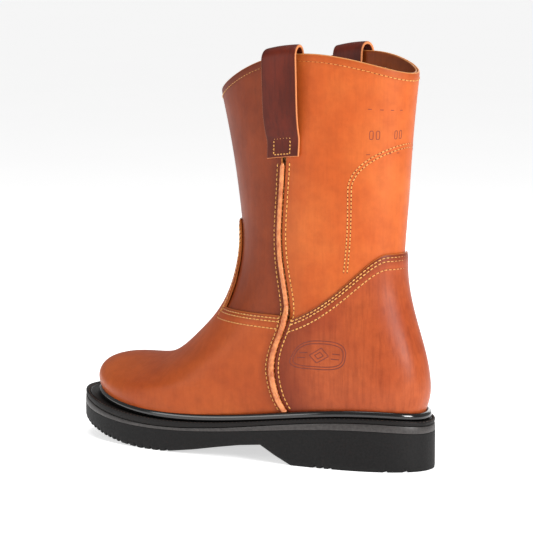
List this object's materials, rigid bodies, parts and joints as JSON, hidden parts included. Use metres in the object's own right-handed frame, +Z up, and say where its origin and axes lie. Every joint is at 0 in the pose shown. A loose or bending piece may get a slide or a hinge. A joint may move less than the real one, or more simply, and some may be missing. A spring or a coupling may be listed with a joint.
{
  "type": "steel toe work boot",
  "caption": "Left pull-on steel toe work boot: leather vamp, counter and two-panel shaft with side piping, pull straps, welted rubber sole with heel.",
  "frame": {"origin": "middle of the boot's footprint, on the floor", "axes": "+X towards the toe, +Y to the outer side of the leg (the boot's left), +Z up"},
  "size_m": [0.312, 0.1135, 0.3114],
  "materials": {
    "vamp_leather": "burnished pull-up leather",
    "counter_leather": "burnished pull-up leather, redder",
    "tan_leather": "burnished pull-up leather",
    "piping_leather": "natural leather",
    "strap_leather": "dark oiled leather",
    "lining": "napped pigskin-like lining",
    "steel": "pressed steel",
    "sole_rubber": "matt, fine ribs",
    "board": "fibre board",
    "gloss_black": "polished",
    "welt_black": "satin, grooved",
    "midsole_grey": "matt",
    "cork": "cork filler",
    "brass": "rivet",
    "foam": "open cell foam"
  },
  "bodies": {
    "boot": {"vamp": "vamp_leather", "counter_cover": "counter_leather", "front_shaft": "tan_leather", "back_shaft": "tan_leather", "left_side_piping": "piping_leather", "right_side_piping": "piping_leather", "collar_facing": "tan_leather", "shaft_lining": "lining", "foot_lining": "lining", "steel_toe_cap": "steel", "toe_cap_edge_strip": "sole_rubber", "heel_stiffener": "board", "back_stay": "tan_leather", "rand": "gloss_black", "welt": "welt_black", "midsole": "midsole_grey", "outsole": "sole_rubber", "insole_board": "board", "insole_rib": "board", "forefoot_filler": "cork", "heel_seat_filler": "cork", "steel_shank": "steel", "shank_rivet_rear": "brass", "shank_rivet_front": "brass"},
    "footbed": {"footbed_foam": "foam", "footbed_cover": "lining"},
    "left_strap": {"left_pull_strap": "strap_leather"},
    "right_strap": {"right_pull_strap": "strap_leather"}
  },
  "joints": [
    {"name": "footbed_lift", "type": "slide", "parent": "boot", "child": "footbed", "axis": [0, 0, 1], "range_m": [0, 0.006]},
    {"name": "left_strap_pull", "type": "slide", "parent": "boot", "child": "left_strap", "axis": [0, 0.05, 0.9987], "range_m": [0, 0.005]},
    {"name": "right_strap_pull", "type": "slide", "parent": "boot", "child": "right_strap", "axis": [0, -0.05, 0.9987], "range_m": [0, 0.005]}
  ]
}
